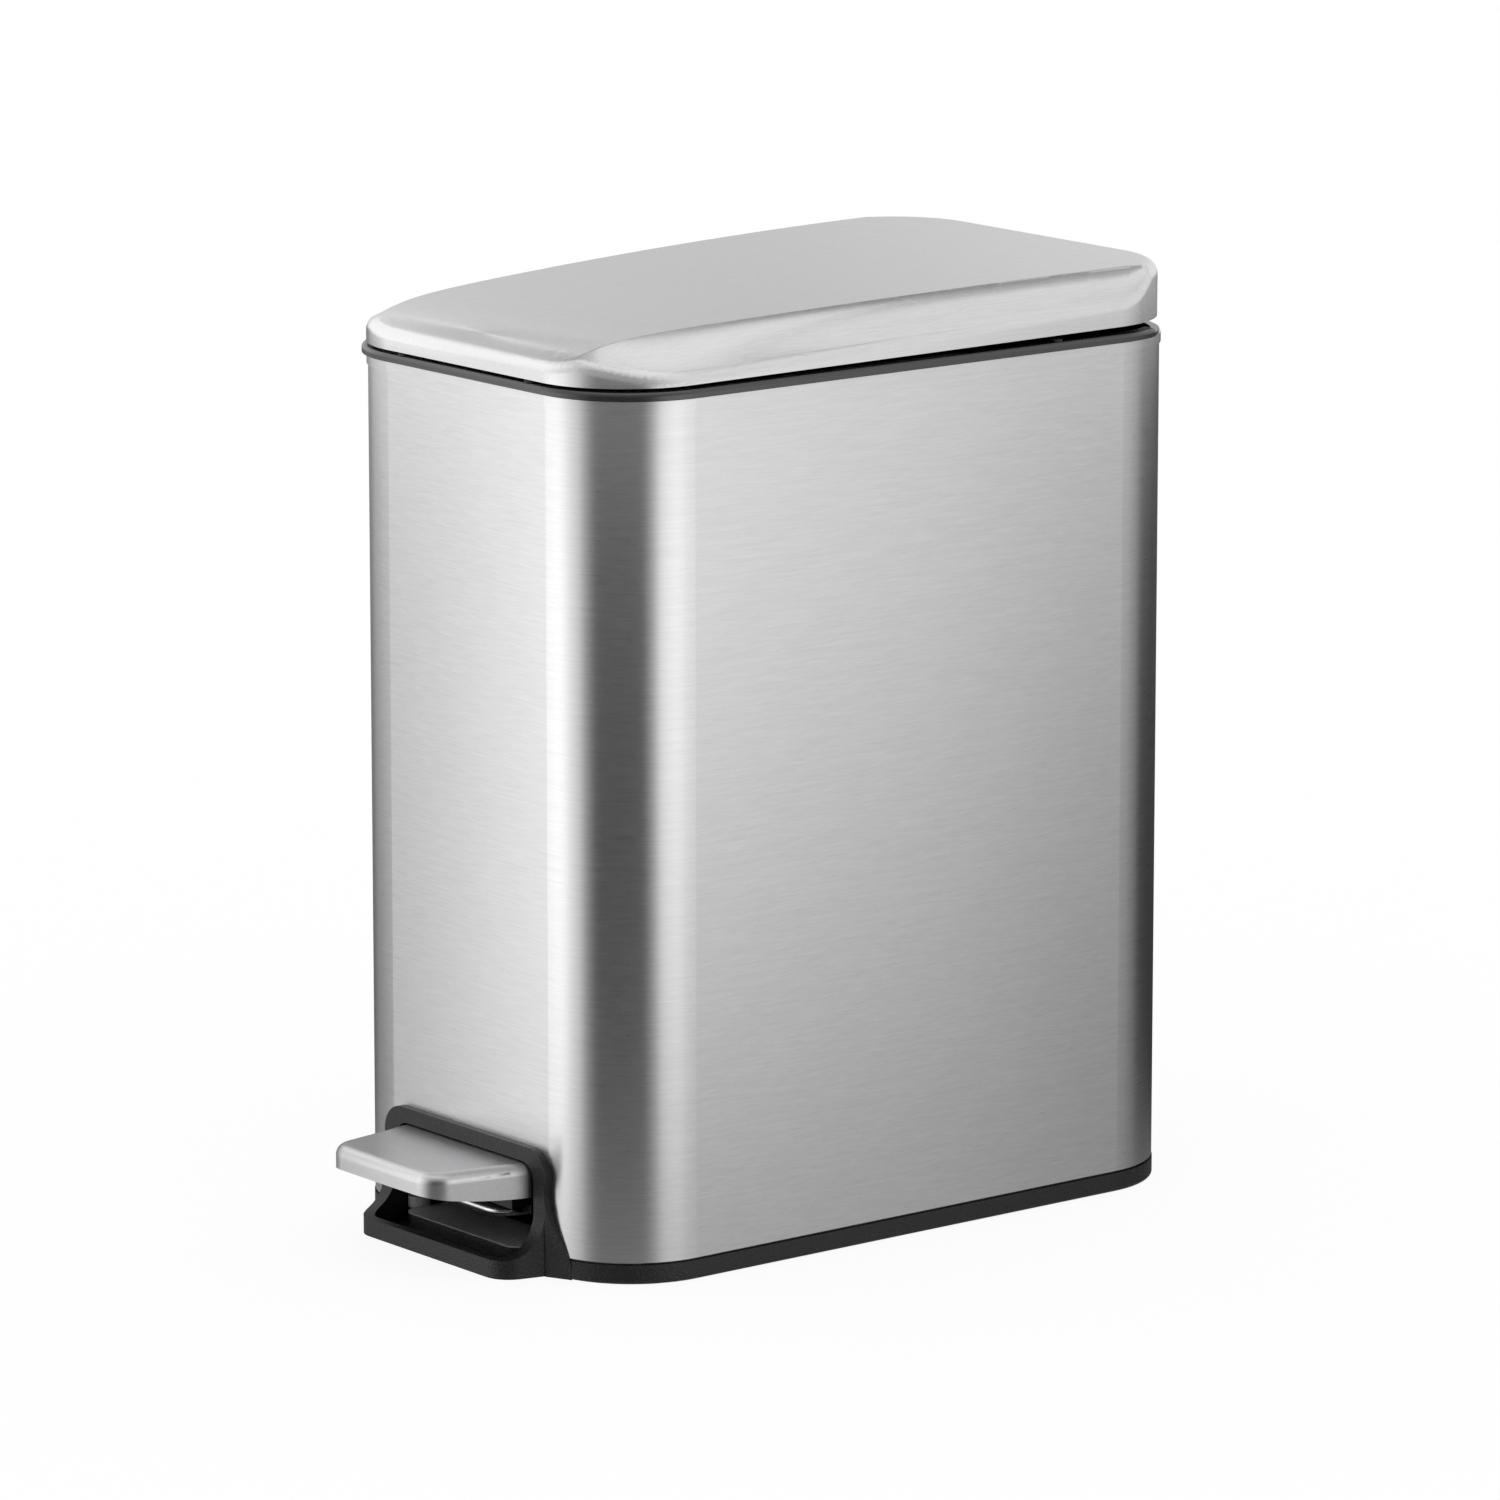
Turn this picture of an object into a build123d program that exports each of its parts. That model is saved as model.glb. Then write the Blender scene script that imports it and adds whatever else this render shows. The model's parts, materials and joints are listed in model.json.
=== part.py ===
from build123d import *
import os
from math import atan, cos, degrees, radians, sin, sqrt, tan

# A slim rectangular pedal bin: a brushed steel sleeve on a black moulded base, a black
# rim that carries the lid hinge, a steel lid over a moulded liner, a lift-out bucket, and
# the pedal, lever and push rod that open the lid. Millimetres, +Z up, floor at z = 0,
# pedal towards -Y. While it is built, y = 0 is the middle of the sleeve.

# Body sleeve
body_width = 148.3
body_depth = 239.5
body_corner = 33.0
body_top = 280.0
steel_wall = 0.6
hem_height = 3.2
hem_proud = 0.5

# Base moulding
skirt_height = 6.3
skirt_groove = 0.7
skirt_proud = 0.2
skirt_round = 1.2
skirt_wall = 3.0
tray_floor_low = 2.0
tray_floor = 2.0
tray_wall = 1.6
tray_wall_top = 22.0
tongue_half = 30.0
tongue_proud = 5.25
tongue_length = 21.0
tongue_top = 7.0
tongue_corner = 5.0
rib_wall = 2.4
rib_pitch = 36.0
boss_radius = 3.6
boss_height = 6.0

# Rim moulding
rim_gap = 0.4
rim_height = 2.6
rim_proud = 2.0
rim_round = 1.2
rim_wall = 2.0
rim_drop = 14.0
rim_rear_height = 0.4
bead_end = 18.75
ledge_width = 3.8
ledge_thick = 2.0
ledge_drop = 10.0
ledge_end = 31.75

# Lid
lid_gap = 0.9
lid_gap_growth = 1.4
lid_side_inset = 0.2
lid_shift = 0.8
lid_steel = 0.8
lid_height = 19.6
lid_fall = 7.2
lid_nose_fall = 7.2
lid_nose_power = 24
lid_wall = 8.4
lid_wall_fall = 6.5
crease_inset = 5.95
crease_draw = 16.5
crease_power = 1.8
lid_edge_round = 5.0
lid_hem = 1.6
lid_cap_depth = 2.4
liner_wall = 1.8
liner_plate_rise = 4.4
liner_plate = 1.6
bumper_radius = 1.5
bumper_height = 0.6

# Lid hinge
hinge_inset = 3.0
hinge_rise = 3.0
hinge_pin_radius = 1.5
knuckle_radius = 3.0
ear_outer_x = 43.0
ear_width = 10.0
knuckle_width = 26.0
hinge_side_gap = 0.4
lid_open = 80.0

# Lid cam and push rod
cam_radius = 11.0
cam_angle = 1.5
cam_spare_angle = 0.15
cam_width = 9.0
cam_heel = 3.0
contact_gap = 0.3
rod_radius = 2.0
tip_radius = 3.6
tip_height = 10.0
tip_socket = 6.0
foot_width = 16.0
foot_length = 13.0
foot_height = 9.0
foot_cheek = 2.4
foot_cheek_wall = 2.0

# Rod channel on the inside of the rear wall
channel_low = 38.0
channel_drop = 28.0
channel_half = 12.5
channel_depth = 19.0
channel_wall = 1.4
channel_flange = 9.0
guide_thick = 6.0
guide_inset = 22.0
rivet_radius = 1.6
rivet_head_radius = 3.2
rivet_head = 1.1
rivet_tail = 1.6
rivet_tail_radius = 2.4

# Lever
wire_radius = 1.6
wire_half = 20.0
wire_bend = 7.0
wire_proud = 2.75
wire_front_z = 16.0
wire_rear_z = 10.0
pivot_inset = 68.75
pivot_z = 9.5
pivot_radius = 2.0
pivot_head_radius = 3.6
pivot_head = 1.6
pivot_tail = 2.4
clip_radius = 4.2
clip_thick = 0.8
rocker_half = 29.0
rocker_length = 22.0
rocker_low = 5.7
rocker_cover = 0.2
rocker_round = 1.0
tray_ear = 4.0
tray_ear_radius = 4.4

# Pedal
pedal_gap = 1.25
pedal_length = 35.5
pedal_top = 34.6
pedal_rear_half = 34.0
pedal_mid = 14.0
pedal_mid_half = 31.2
pedal_front_half = 27.4
pedal_front_bow = 0.8
pedal_corner = 9.0
pedal_edge_round = 3.4
pedal_skirt_rear = 10.9
pedal_skirt_front = 7.2
pedal_steel = 0.8
core_recess = 1.0
tail_half = 24.0
tail_inset = 29.75
tail_rise = 30.0
core_screw_x = 15.6
core_screw_inset = 19.75

# Pedal housing
flange_top = 40.0
flange_half = 42.8
flange_proud = 2.65
flange_corner = 9.0
opening_half = 36.5
opening_gap = 0.5
opening_corner = 6.0
flare_half = 51.0
flare_low_half = 49.9
flare_low_z = 7.6
flare_waist_half = 44.8
flare_waist_z = 17.0
flare_start = 31.0
lip_depth = 17.45
lip_half = 38.4
lip_height = 6.0
lip_wall = 2.6
lip_corner = 9.0
sweep_radius = 13.5
well_floor = 2.0
collar_wall = 2.0
collar_reach = 7.0

# Bucket and bail
bucket_gap = 0.6
bucket_wall = 1.6
bucket_room = 5.25
bucket_floor_z = 34.0
bucket_taper = 6.0
bucket_rim_height = 3.0
bucket_foot_round = 4.8
bail_radius = 1.5
bail_pivot_y = -10.0
bail_drop = 11.0
bail_front_gap = 1.0
bail_bend = 22.0
bail_hook = 2.1
bail_rest_x = 24.0
bail_rest_width = 8.0
bail_rest_thick = 2.0
bail_rest_drop = 5.0

# Fasteners
screw_radius = 1.5
screw_head_radius = 3.0
screw_head = 1.5
screw_length = 9.0
screw_slot = 0.8
screw_slot_depth = 0.6

# Clearances
press_gap = 0.03
run_gap = 0.05
slide_gap = 0.08
seat_gap = 0.15
part_gap = 0.3

# Levels and places that follow from the sizes above
front_y = -body_depth / 2
rear_y = body_depth / 2
body_low = skirt_height + skirt_groove
rim_low = body_top + rim_gap
rim_top = rim_low + rim_height
rim_rear_top = rim_low + rim_rear_height
ledge_low = body_top - ledge_drop
lid_low = rim_top + lid_gap
lid_high = lid_low + lid_height
crease_half = body_width / 2 - crease_inset
liner_low = lid_low + liner_plate_rise
liner_top = liner_low + liner_plate
hinge_y = rear_y - hinge_inset
hinge_z = body_top + hinge_rise
channel_high = body_top - channel_drop
wire_front_y = front_y - wire_proud
pivot_y = front_y + pivot_inset
pedal_root = front_y - pedal_gap
pedal_front = pedal_root - pedal_length
lip_front = front_y - lip_depth
bucket_rear_y = rear_y - steel_wall - channel_depth - channel_wall - bucket_room
core_screw_y = front_y + core_screw_inset
rod_y = hinge_y - cam_radius
rod_top = hinge_z - cam_radius * cam_angle - contact_gap
foot_low = wire_rear_z + wire_radius + contact_gap
bucket_top = ledge_low + ledge_thick + bucket_rim_height
bail_pivot_z = bucket_top - bail_drop
bail_rest_z = bucket_top - bail_rest_drop
cam_end = cam_angle - radians(lid_open)
ear_end = rocker_half + hinge_side_gap + tray_ear
far = 2 * (body_depth + body_top)
up = (Align.CENTER, Align.CENTER, Align.MIN)


def rounded_block(inset, low, high):
    """The sleeve's plan shape, moved in by inset, between two levels."""
    sides = (body_width - 2 * inset, body_depth - 2 * inset)
    plan = RectangleRounded(*sides, body_corner - inset)
    return Pos(0, 0, low) * extrude(plan, high - low)


def box(x_low, x_high, y_low, y_high, z_low, z_high):
    size = (x_high - x_low, y_high - y_low, z_high - z_low)
    centre = ((x_low + x_high) / 2, (y_low + y_high) / 2, (z_low + z_high) / 2)
    return Pos(*centre) * Box(*size)


def cross_bar(radius, x_low, x_high, y, z):
    """A round bar along X."""
    bar = Rot(0, 90, 0) * Cylinder(radius, x_high - x_low)
    return Pos((x_low + x_high) / 2, y, z) * bar


def side_profile(points_face, x_low, x_high):
    """A face drawn with its X along +Y and its Y along +Z, given a width along X."""
    plane = Plane(origin=(x_low, 0, 0), x_dir=(0, 1, 0), z_dir=(1, 0, 0))
    return extrude(plane * points_face, x_high - x_low)


def front_profile(face, y_low, y_high):
    """A face drawn in X and Z, given a depth along +Y."""
    plane = Plane(origin=(0, y_high, 0), x_dir=(1, 0, 0), z_dir=(0, -1, 0))
    return extrude(plane * face, y_high - y_low)


# Body sleeve: folded sheet with a hemmed top edge and a front cut-out for the pedal.
def body_shell():
    outer = rounded_block(0, body_low, body_top)
    outer += rounded_block(-hem_proud, body_top - hem_height, body_top)
    sleeve = outer - rounded_block(steel_wall, body_low, body_top)
    cut_half = opening_half + collar_wall + seat_gap
    cut_top = pedal_top + opening_gap + collar_wall + seat_gap
    cut_out = box(-cut_half, cut_half, front_y - collar_wall, front_y + body_corner, 0, cut_top)
    sleeve -= cut_out
    for x, z in rivet_places():
        sleeve -= Pos(x, rear_y, z) * Rot(90, 0, 0) * Cylinder(rivet_radius + press_gap, channel_depth)
    return sleeve


def rivet_places():
    half = channel_half + channel_flange / 2
    rows = (channel_low + guide_inset, channel_high - guide_inset)
    return [(x, z) for z in rows for x in (-half, half)]


# Rim: a bead over the sleeve's edge, a skirt inside it, a ledge for the bucket, hinge ears.
def top_ring():
    bead = rounded_block(-rim_proud, rim_low, rim_top)
    top_edges = bead.edges().group_by(Axis.Z)[-1]
    bead = fillet(top_edges, rim_round)
    bead -= box(-body_width, body_width, rear_y - bead_end, far, 0, far)
    bead += rounded_block(0, rim_low, rim_rear_top)
    skirt_inset = steel_wall + seat_gap
    ring = bead + rounded_block(skirt_inset, body_top - rim_drop, rim_rear_top)
    mouth_inset = skirt_inset + rim_wall
    ring -= rounded_block(mouth_inset, 0, far)
    ledge = rounded_block(skirt_inset, ledge_low, ledge_low + ledge_thick)
    ledge -= rounded_block(mouth_inset + ledge_width, 0, far)
    ledge -= box(-body_width, body_width, rear_y - ledge_end, far, 0, far)
    ring += ledge
    for side in (-1, 1):
        ring += hinge_ear(side)
        ring -= knuckle_space(side)
    room = knuckle_radius + part_gap
    ring -= cross_bar(room, -cam_width / 2 - hinge_side_gap, cam_width / 2 + hinge_side_gap, hinge_y, hinge_z)
    ring -= cross_bar(hinge_pin_radius + press_gap, -body_width, body_width, hinge_y, hinge_z)
    for place in bumper_places():
        ring -= Pos(*place) * Cylinder(bumper_radius + press_gap, 2 * bumper_height)
    return ring


def hinge_ear(side):
    inner = side * (ear_outer_x - ear_width)
    outer = side * ear_outer_x
    low, high = min(inner, outer), max(inner, outer)
    ear = cross_bar(knuckle_radius, low, high, hinge_y, hinge_z)
    foot_y = (hinge_y - knuckle_radius, hinge_y + knuckle_radius)
    return ear + box(low, high, *foot_y, rim_low, hinge_z)


def knuckle_span(side):
    """Where a lid knuckle lies along X, just inside its ear."""
    outer = ear_outer_x - ear_width - hinge_side_gap
    inner = outer - knuckle_width
    return (inner, outer) if side > 0 else (-outer, -inner)


def knuckle_space(side):
    low, high = knuckle_span(side)
    room = knuckle_radius + part_gap
    return cross_bar(room, low - hinge_side_gap, high + hinge_side_gap, hinge_y, hinge_z)


# Base: a floor with ribs under it, a skirt below the sleeve, a wall inside it, a tongue
# that reaches into the pedal housing, and the ears of the lever's pivot.
def base_tray():
    skirt = rounded_block(-skirt_proud, 0, skirt_height)
    skirt = fillet(skirt.edges().group_by(Axis.Z)[0], skirt_round)
    skirt -= rounded_block(skirt_wall, 0, skirt_height)
    wall_inset = steel_wall + seat_gap
    wall = rounded_block(wall_inset, tray_floor_low, tray_wall_top)
    wall -= rounded_block(wall_inset + tray_wall, 0, far)
    floor_top = tray_floor_low + tray_floor
    floor = rounded_block(wall_inset, tray_floor_low, floor_top)
    tray = skirt + wall + floor
    for rib in floor_ribs():
        tray += rib
    tray -= housing_space()
    tray += tongue()
    for x in housing_screw_x():
        tray += Pos(x, screw_y(), tray_floor_low) * Cylinder(boss_radius, tray_floor + boss_height, align=up)
        tray -= Pos(x, screw_y(), 0) * Cylinder(screw_radius + press_gap, screw_head + screw_length, align=up)
    for side in (-1, 1):
        tray += pivot_ear(side)
    tray += stop_rib()
    return tray - cross_bar(pivot_radius + press_gap, -ear_end, ear_end, pivot_y, pivot_z)


def housing_screw_x():
    place = opening_half - boss_radius - part_gap
    return (-place, place)


def screw_y():
    return front_y + collar_reach / 2


def floor_ribs():
    room = rounded_block(skirt_wall / 2, 0, tray_floor_low)
    half = rib_wall / 2
    ribs = [box(-half, half, front_y, rear_y, 0, tray_floor_low)]
    for side in (-1, 1):
        x = side * rib_pitch
        ribs.append(box(x - half, x + half, front_y, rear_y, 0, tray_floor_low))
    rows = int(body_depth / 2 / rib_pitch)
    for row in range(-rows, rows + 1):
        y = row * rib_pitch
        ribs.append(box(-body_width / 2, body_width / 2, y - half, y + half, 0, tray_floor_low))
    return [rib & room for rib in ribs]


def housing_space():
    """Room at the front for the pedal housing's foot, floor and collar."""
    reach = front_y + collar_reach + seat_gap
    half = opening_half + collar_wall + seat_gap
    low_half = flare_half + seat_gap
    inner = opening_half - seat_gap
    walls = box(-half, half, -far, reach, 0, tray_wall_top)
    walls -= box(-inner, inner, -far, reach, well_floor, tray_wall_top)
    through = box(-half, half, -far, front_y + skirt_wall + tray_wall, 0, tray_wall_top)
    foot = box(-low_half, low_half, -far, 0, 0, body_low) - rounded_block(seat_gap, 0, body_low)
    return walls + through + foot


def tongue():
    end = front_y - tongue_proud
    block = box(-tongue_half, tongue_half, end, end + tongue_length, tray_floor_low, tongue_top)
    corners = block.edges().filter_by(Axis.Z).group_by(Axis.Y)[0]
    return fillet(corners, tongue_corner)


def pivot_ear(side):
    inner = side * (ear_end - tray_ear)
    outer = side * ear_end
    low, high = min(inner, outer), max(inner, outer)
    ear = cross_bar(tray_ear_radius, low, high, pivot_y, pivot_z)
    return ear + box(low, high, pivot_y - tray_ear_radius, pivot_y + tray_ear_radius,
                     tray_floor_low, pivot_z)


def stop_rib():
    """The lever's rear bar comes down onto this rib."""
    top = wire_rear_z - wire_radius - contact_gap
    half = rib_wall / 2
    return box(-wire_half, wire_half, rod_y - half, rod_y + half, tray_floor_low, top)


# Pedal housing: a flange on the sleeve whose sides sweep forward into a lip round a well.
def pedal_housing():
    outline = front_outline()
    scoop = scoop_block() & scoop_side() & outline
    plate = rounded_block(-flange_proud, 0, flange_top) - rounded_block(0, 0, flange_top)
    plate &= outline
    for side in (-1, 1):
        plate -= flare_slope(side)
    housing = scoop + plate
    housing -= well()
    housing += collar()
    housing -= opening(front_y - flange_proud - part_gap, front_y + collar_reach + part_gap)
    for x in housing_screw_x():
        hole = Cylinder(screw_radius + press_gap, well_floor * 2)
        sink = Cylinder(screw_head_radius + part_gap, screw_head, align=up)
        housing -= Pos(x, screw_y(), well_floor) * hole
        housing -= Pos(x, screw_y(), 0) * sink
    return housing


def flare_slope(side):
    """What is cut off the flange outside its sides, so that the flare runs into the skirt."""
    setback = body_corner - sqrt(body_corner ** 2 - (flare_half - body_width / 2 + body_corner) ** 2)
    edge = (side * flange_half, front_y - flange_proud)
    foot = (side * flare_half, front_y + setback - skirt_proud)
    beyond = (2 * foot[0] - edge[0], 2 * foot[1] - edge[1])
    plan = make_face(Polyline(edge, beyond, (beyond[0], front_y - lip_depth), close=True))
    return extrude(plan, flange_top, dir=(0, 0, 1))


def scoop_block():
    with BuildSketch() as plan:
        with BuildLine():
            Polyline((-flange_half, front_y), (-lip_half, lip_front),
                     (lip_half, lip_front), (flange_half, front_y), close=True)
        make_face()
        fillet(plan.vertices().group_by(Axis.Y)[0], lip_corner)
    return extrude(plan.sketch, flange_top)


def scoop_side():
    """The walls' top edge seen from the side: level along the lip, then an arc upwards."""
    flange_y = front_y - flange_proud
    arc_y = flange_y - sweep_radius
    arc_z = lip_height + sweep_radius
    with BuildSketch() as side:
        with BuildLine():
            rise = Line((front_y, 0), (lip_front, 0))
            face = Line(rise @ 1, (lip_front, lip_height))
            top = Line(face @ 1, (arc_y, lip_height))
            sweep = TangentArc(top @ 1, (flange_y, arc_z), tangent=(1, 0))
            front = Line(sweep @ 1, (flange_y, flange_top))
            back = Line(front @ 1, (front_y, flange_top))
            Line(back @ 1, rise @ 0)
        make_face()
    return side_profile(side.sketch, -body_width / 2, body_width / 2)


def front_outline():
    """The housing from the front: round top corners, and a foot that flares to the skirt."""
    with BuildSketch() as front:
        with BuildLine():
            base = Line((-flare_half, 0), (flare_half, 0))
            right = Spline((flare_half, 0), (flare_low_half, flare_low_z),
                           (flare_waist_half, flare_waist_z), (flange_half, flare_start))
            side = Line(right @ 1, (flange_half, flange_top))
            top = Line(side @ 1, (-flange_half, flange_top))
            left = Line(top @ 1, (-flange_half, flare_start))
            Spline(left @ 1, (-flare_waist_half, flare_waist_z), (-flare_low_half, flare_low_z),
                   base @ 0)
        make_face()
        top_corners = front.vertices().group_by(Axis.Y)[-1]
        fillet(top_corners, flange_corner)
    return front_profile(front.sketch, -far, front_y + body_corner)


def well():
    """The hollow behind the lip."""
    inner_half = lip_half - lip_wall
    inner_y = lip_front + lip_wall
    with BuildSketch() as plan:
        with BuildLine():
            Polyline((-opening_half, front_y), (-inner_half, inner_y),
                     (inner_half, inner_y), (opening_half, front_y), close=True)
        make_face()
        fillet(plan.vertices().group_by(Axis.Y)[0], lip_corner - lip_wall)
    return Pos(0, 0, well_floor) * extrude(plan.sketch, pedal_top + opening_gap - well_floor)


def opening(y_low, y_high):
    height = pedal_top + opening_gap - well_floor
    with BuildSketch() as front:
        with Locations((0, well_floor + height / 2)):
            Rectangle(2 * opening_half, height)
        fillet(front.vertices().group_by(Axis.Y)[-1], opening_corner)
    return front_profile(front.sketch, y_low, y_high)


def collar():
    """A sleeve through the body's cut-out, with a floor that the base's tongue lies on."""
    half = opening_half + collar_wall
    top = pedal_top + opening_gap + collar_wall
    return box(-half, half, front_y - flange_proud, front_y + collar_reach, 0, top)


# Rod channel: a folded cover on the inside of the rear wall, with two guides for the rod.
def rod_channel():
    wall_y = rear_y - steel_wall
    web_y = wall_y - channel_depth
    with BuildSketch() as plan:
        with BuildLine():
            Polyline((-channel_half - channel_flange, wall_y - channel_wall),
                     (-channel_half, wall_y - channel_wall), (-channel_half, web_y),
                     (channel_half, web_y), (channel_half, wall_y - channel_wall),
                     (channel_half + channel_flange, wall_y - channel_wall))
            offset(amount=channel_wall, side=Side.LEFT)
        make_face()
    channel = Pos(0, 0, channel_low) * extrude(plan.sketch, channel_high - channel_low)
    guide_y = (web_y, wall_y - channel_wall)
    for low in (channel_low + guide_inset, channel_high - guide_thick):
        guide = box(-channel_half, channel_half, *guide_y, low, low + guide_thick)
        channel += guide
    channel -= Pos(0, rod_y, 0) * Cylinder(rod_radius + slide_gap, far)
    for x, z in rivet_places():
        hole = Cylinder(rivet_radius + press_gap, channel_depth)
        channel -= Pos(x, wall_y, z) * Rot(90, 0, 0) * hole
    return channel


def channel_rivets():
    """Blind rivets: a domed head outside the rear wall, an upset tail on the flange."""
    shank = steel_wall + channel_wall
    rise = rivet_head_radius ** 2 / (2 * rivet_head) + rivet_head / 2
    rivets = []
    for x, z in rivet_places():
        head = Pos(0, 0, rivet_head - rise) * Sphere(rise)
        head &= Cylinder(rivet_head_radius, rivet_head, align=up)
        body = Pos(0, 0, -shank) * Cylinder(rivet_radius, shank, align=up)
        tail = Pos(0, 0, -shank - rivet_tail) * Cylinder(rivet_tail_radius, rivet_tail, align=up)
        rivets.append(Pos(x, rear_y, z) * Rot(-90, 0, 0) * (head + body + tail))
    return rivets


def pivot_pin():
    """A headed pin across the two ears of the base, held by a push-on clip."""
    seat = ear_end + press_gap
    shaft = cross_bar(pivot_radius, -seat, seat + clip_thick + pivot_tail, pivot_y, pivot_z)
    return shaft + cross_bar(pivot_head_radius, -seat - pivot_head, -seat, pivot_y, pivot_z)


def pivot_clip():
    seat = ear_end + press_gap
    disc = cross_bar(clip_radius, seat, seat + clip_thick, pivot_y, pivot_z)
    return disc - cross_bar(pivot_radius + press_gap, 0, far, pivot_y, pivot_z)


def hinge_pin():
    return cross_bar(hinge_pin_radius, -ear_outer_x - clip_thick, ear_outer_x + clip_thick,
                     hinge_y, hinge_z)


def housing_screws():
    """Pan-head screws up through the pedal housing's floor into the base's bosses."""
    screws = []
    for x in housing_screw_x():
        screw = Pos(0, 0, part_gap) * Cylinder(screw_head_radius, screw_head - part_gap, align=up)
        screw += Pos(0, 0, part_gap) * Cylinder(screw_radius, screw_length, align=up)
        slot_depth = part_gap + screw_slot_depth
        slot = Pos(0, 0, slot_depth / 2) * Box(2 * screw_head_radius, screw_slot, slot_depth)
        screws.append(Pos(x, screw_y(), 0) * (screw - slot))
    return screws


# Lever: a closed wire frame in a block that turns on the pivot pin.
def wire_slope():
    return (wire_rear_z - wire_front_z) / (rod_y - wire_front_y)


def wire_z(y):
    return wire_front_z + wire_slope() * (y - wire_front_y)


def lever_wire():
    length = sqrt((rod_y - wire_front_y) ** 2 + (wire_rear_z - wire_front_z) ** 2)
    middle = ((rod_y + wire_front_y) / 2, (wire_rear_z + wire_front_z) / 2)
    along = Vector(0, rod_y - wire_front_y, wire_rear_z - wire_front_z)
    plane = Plane(origin=(0, *middle), x_dir=(1, 0, 0), z_dir=Vector(1, 0, 0).cross(along))
    loop = plane * RectangleRounded(2 * wire_half, length, wire_bend).wire()
    start = loop @ 0
    section = Plane(origin=start, z_dir=loop % 0) * Circle(wire_radius)
    return sweep(section, path=loop)


def lever_rocker():
    half = rocker_length / 2
    top = wire_z(pivot_y - half) + wire_radius + rocker_cover
    block = box(-rocker_half, rocker_half, pivot_y - half, pivot_y + half, rocker_low, top)
    ends = block.edges().filter_by(Axis.X)
    block = fillet(ends, rocker_round)
    block -= cross_bar(pivot_radius + run_gap, -far, far, pivot_y, pivot_z)
    for side in (-1, 1):
        block -= wire_groove(side, pivot_y - rocker_length, pivot_y + rocker_length, 1)
    return block


def wire_groove(side, y_low, y_high, open_way):
    """The bed of one wire leg, open upwards (1) or downwards (-1)."""
    radius = wire_radius + press_gap
    middle = (y_low + y_high) / 2
    leg = Rot(-90, 0, 0) * Cylinder(radius, y_high - y_low)
    leg += box(-radius, radius, (y_low - y_high) / 2, (y_high - y_low) / 2,
               min(0, open_way * tail_rise), max(0, open_way * tail_rise))
    turn = Rot(degrees(atan(wire_slope())), 0, 0)
    return Pos(side * wire_half, middle, wire_z(middle)) * turn * leg


# Pedal: a pressed steel cap over a moulded core whose tail is screwed down on the wire.
def pedal_outline(inset):
    """Plan of the pedal: sides that narrow towards a slightly bowed front with round corners."""
    rear = pedal_rear_half - inset
    middle = (pedal_mid_half - inset, pedal_root - pedal_mid)
    front = pedal_front_half - inset
    nose_y = pedal_front + inset
    shoulder = nose_y + pedal_front_bow
    with BuildSketch() as plan:
        with BuildLine():
            back = Line((-rear, pedal_root), (rear, pedal_root))
            right = ThreePointArc(back @ 1, middle, (front, shoulder))
            nose = ThreePointArc(right @ 1, (0, nose_y), (-front, shoulder))
            ThreePointArc(nose @ 1, (-middle[0], middle[1]), back @ 0)
        make_face()
        fillet(plan.vertices().group_by(Axis.Y)[0], pedal_corner - inset)
    return plan.sketch


def pedal_form(inset, low):
    """The pedal's outer form moved in by inset, down to a level."""
    top = pedal_top - inset
    form = Pos(0, 0, low) * extrude(pedal_outline(inset), top - low)
    rim = form.faces().sort_by(Axis.Z)[-1].edges().sort_by(Axis.Y)[:-1]
    return fillet(rim, pedal_edge_round - inset)


def under_pedal(rise):
    """Everything below the pedal's lower edge, which is level at the root and rises in an arc."""
    root = (pedal_root, pedal_top - pedal_skirt_rear + rise)
    nose = (pedal_front, pedal_top - pedal_skirt_front + rise)
    with BuildSketch() as side:
        with BuildLine():
            edge = TangentArc(root, nose, tangent=(-1, 0))
            Polyline(edge @ 1, (pedal_front, 0), (pedal_root, 0), edge @ 0)
        make_face()
    return side_profile(side.sketch, -body_width / 2, body_width / 2)


def pedal_cover():
    low = pedal_top - pedal_skirt_rear - pedal_corner
    outer = pedal_form(0, low) - under_pedal(0)
    return outer - pedal_form(pedal_steel, low - pedal_corner)


def pedal_core():
    low = pedal_top - pedal_skirt_rear - pedal_corner
    core = pedal_form(pedal_steel + press_gap, low) - under_pedal(core_recess)
    over_wire = wire_front_z + wire_radius + part_gap
    past_bend = wire_front_y + wire_bend + wire_radius
    tail_y = front_y + tail_inset
    tail = box(-tail_half, tail_half, wire_front_y + core_recess, tail_y, over_wire, tail_rise)
    tail += box(-tail_half, tail_half, past_bend, tail_y, wire_z(tail_y), over_wire)
    back_edges = tail.edges().filter_by(Axis.Z).group_by(Axis.Y)[-1]
    core += fillet(back_edges, wire_bend)
    joint_low = pedal_top - pedal_skirt_rear + core_recess
    core += box(-tail_half, tail_half, pedal_root - pedal_mid, pedal_root, joint_low, tail_rise)
    for side in (-1, 1):
        core -= wire_groove(side, -far / 2, wire_front_y + far / 2, -1)
        hole = Cylinder(screw_radius + press_gap, screw_length, align=up)
        core -= Pos(side * core_screw_x, core_screw_y, wire_z(core_screw_y) - wire_radius) * hole
    return core


def core_screws():
    """Screws whose heads clamp the wire legs up into the tail of the pedal's core."""
    seat = wire_z(core_screw_y) - wire_radius - press_gap
    screws = []
    for side in (-1, 1):
        head = Pos(0, 0, -screw_head) * Cylinder(screw_head_radius, screw_head, align=up)
        shank = Cylinder(screw_radius, screw_length - wire_radius, align=up)
        screws.append(Pos(side * core_screw_x, core_screw_y, seat) * (head + shank))
    return screws


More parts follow.
